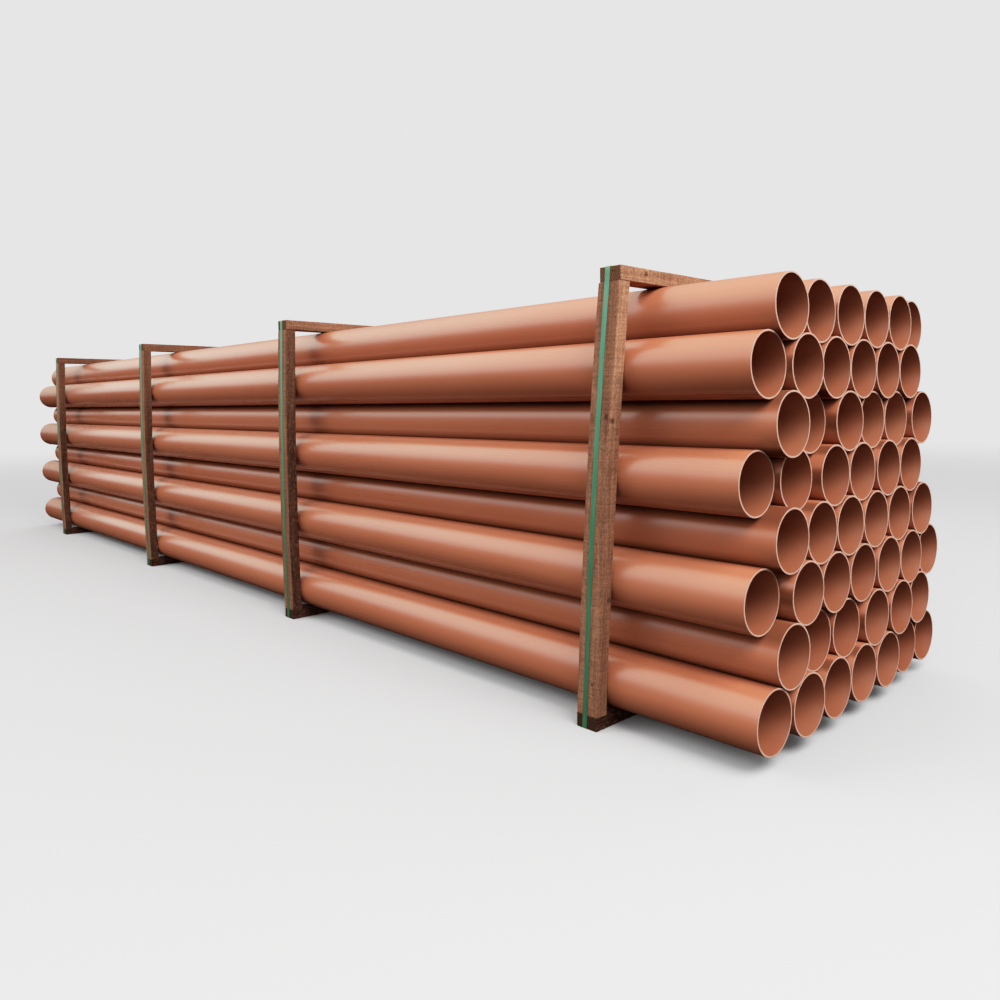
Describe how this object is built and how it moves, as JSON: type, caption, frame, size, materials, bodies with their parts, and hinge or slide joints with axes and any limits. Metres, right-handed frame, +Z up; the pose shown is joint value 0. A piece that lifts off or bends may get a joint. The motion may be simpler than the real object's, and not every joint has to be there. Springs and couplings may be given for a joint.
{
  "type": "pipe bundle",
  "caption": "Bundle of plain-ended orange underground PVC drain pipes, nested in rows and held by strapped timber frames.",
  "frame": {"origin": "middle of the bundle's bounding box, on the floor under the bottom beams", "axes": "+X along the pipes to the end seen in the picture, -Y the long side seen in the picture, +Z up"},
  "size_m": [6.08, 1.2136, 1.2094],
  "materials": {
    "pipe": "satin",
    "timber": "matte",
    "dark_timber": "matte",
    "strap": "satin"
  },
  "bodies": {
    "root": {"pipe_row_1": "pipe", "pipe_row_2": "pipe", "pipe_row_3": "pipe", "pipe_row_4": "pipe", "pipe_row_5": "pipe", "pipe_row_6": "pipe", "pipe_row_7": "pipe", "pipe_row_8": "pipe", "left_post_1": "timber", "left_post_2": "timber", "left_post_3": "timber", "left_post_4": "timber", "right_post_1": "timber", "right_post_2": "timber", "right_post_3": "timber", "right_post_4": "timber", "top_beam_1": "timber", "top_beam_2": "timber", "top_beam_3": "timber", "top_beam_4": "timber", "bottom_beam_1": "dark_timber", "bottom_beam_2": "dark_timber", "bottom_beam_3": "dark_timber", "bottom_beam_4": "dark_timber", "strap_1": "strap", "strap_2": "strap", "strap_3": "strap", "strap_4": "strap"}
  },
  "joints": []
}
